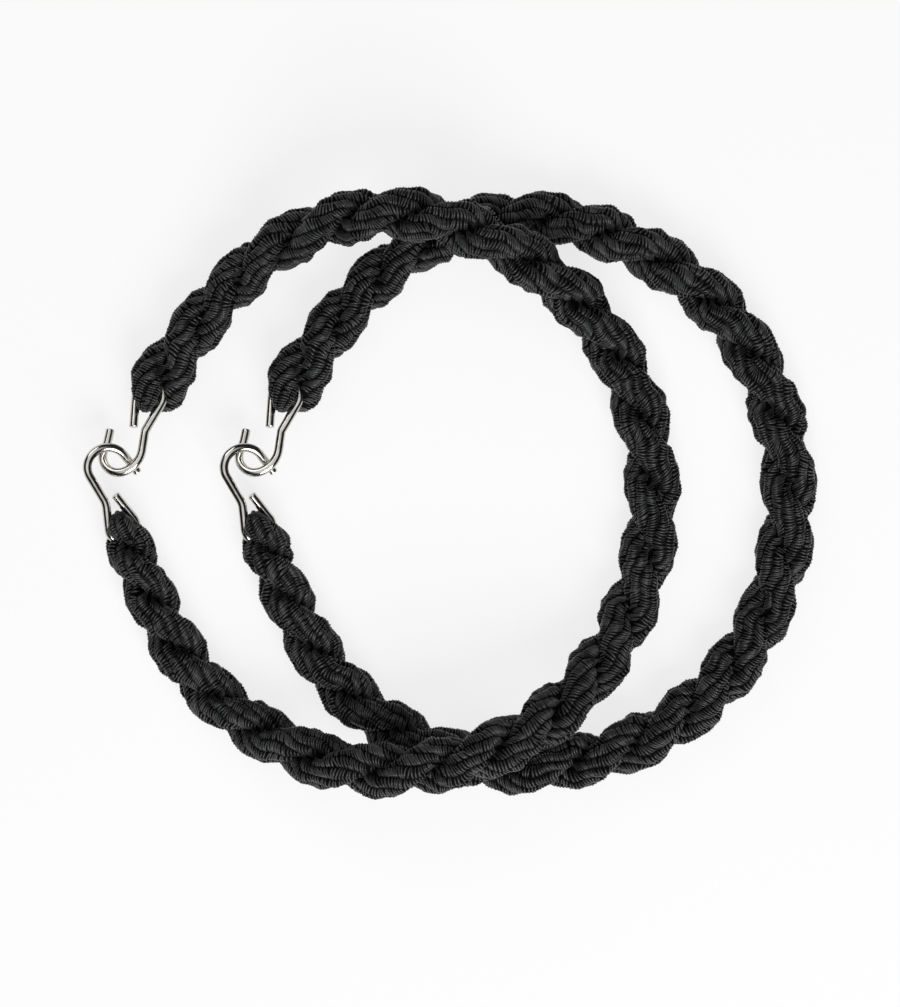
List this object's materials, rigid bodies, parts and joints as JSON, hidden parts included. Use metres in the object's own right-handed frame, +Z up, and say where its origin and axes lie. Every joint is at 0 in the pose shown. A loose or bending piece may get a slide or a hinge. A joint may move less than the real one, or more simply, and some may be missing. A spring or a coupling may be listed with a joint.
{
  "type": "elastic trouser twists",
  "caption": "Pair of black twisted elastic trouser bands, each closed into a ring by two linked S-shaped wire hooks.",
  "frame": {"origin": "middle of the bounding box of the pair, on the table they lie on", "axes": "+Z up from the table, +Y towards the upper hooks, +X from the hooks towards the closed side of the rings"},
  "size_m": [0.1137, 0.0949, 0.0168],
  "materials": {
    "black_elastic": "matt corded elastic, covered with fine black thread",
    "rubber": "natural rubber threads",
    "hook_wire": "bright nickel-plated steel wire"
  },
  "bodies": {
    "right_twist": {"right_elastic_cover": "black_elastic", "right_rubber_core": "rubber"},
    "left_twist": {"left_elastic_cover": "black_elastic", "left_rubber_core": "rubber"},
    "left_upper_hook": {"left_upper_hook": "hook_wire"},
    "left_lower_hook": {"left_lower_hook": "hook_wire"},
    "right_upper_hook": {"right_upper_hook": "hook_wire"},
    "right_lower_hook": {"right_lower_hook": "hook_wire"}
  },
  "joints": [
    {"name": "left_lift", "type": "slide", "parent": "right_twist", "child": "left_twist", "axis": [0, 0, 1], "range_m": [0, 0.06]},
    {"name": "left_upper_hook_swing", "type": "hinge", "parent": "left_twist", "child": "left_upper_hook", "pos_m": [-0.04655, 0.0147, 0.00348], "axis": [-0.2376, 0.2329, 0.943], "range_deg": [-2, 2]},
    {"name": "left_lower_hook_swing", "type": "hinge", "parent": "left_twist", "child": "left_lower_hook", "pos_m": [-0.05075, -0.0055, 0.00348], "axis": [0.3348, -0.086, 0.9384], "range_deg": [-8, 2]},
    {"name": "right_upper_hook_swing", "type": "hinge", "parent": "right_twist", "child": "right_upper_hook", "pos_m": [-0.02545, 0.0147, 0.00348], "axis": [-0.2376, 0.2329, 0.943], "range_deg": [-2, 2]},
    {"name": "right_lower_hook_swing", "type": "hinge", "parent": "right_twist", "child": "right_lower_hook", "pos_m": [-0.02965, -0.0055, 0.00348], "axis": [0.3348, -0.086, 0.9384], "range_deg": [-8, 2]}
  ]
}
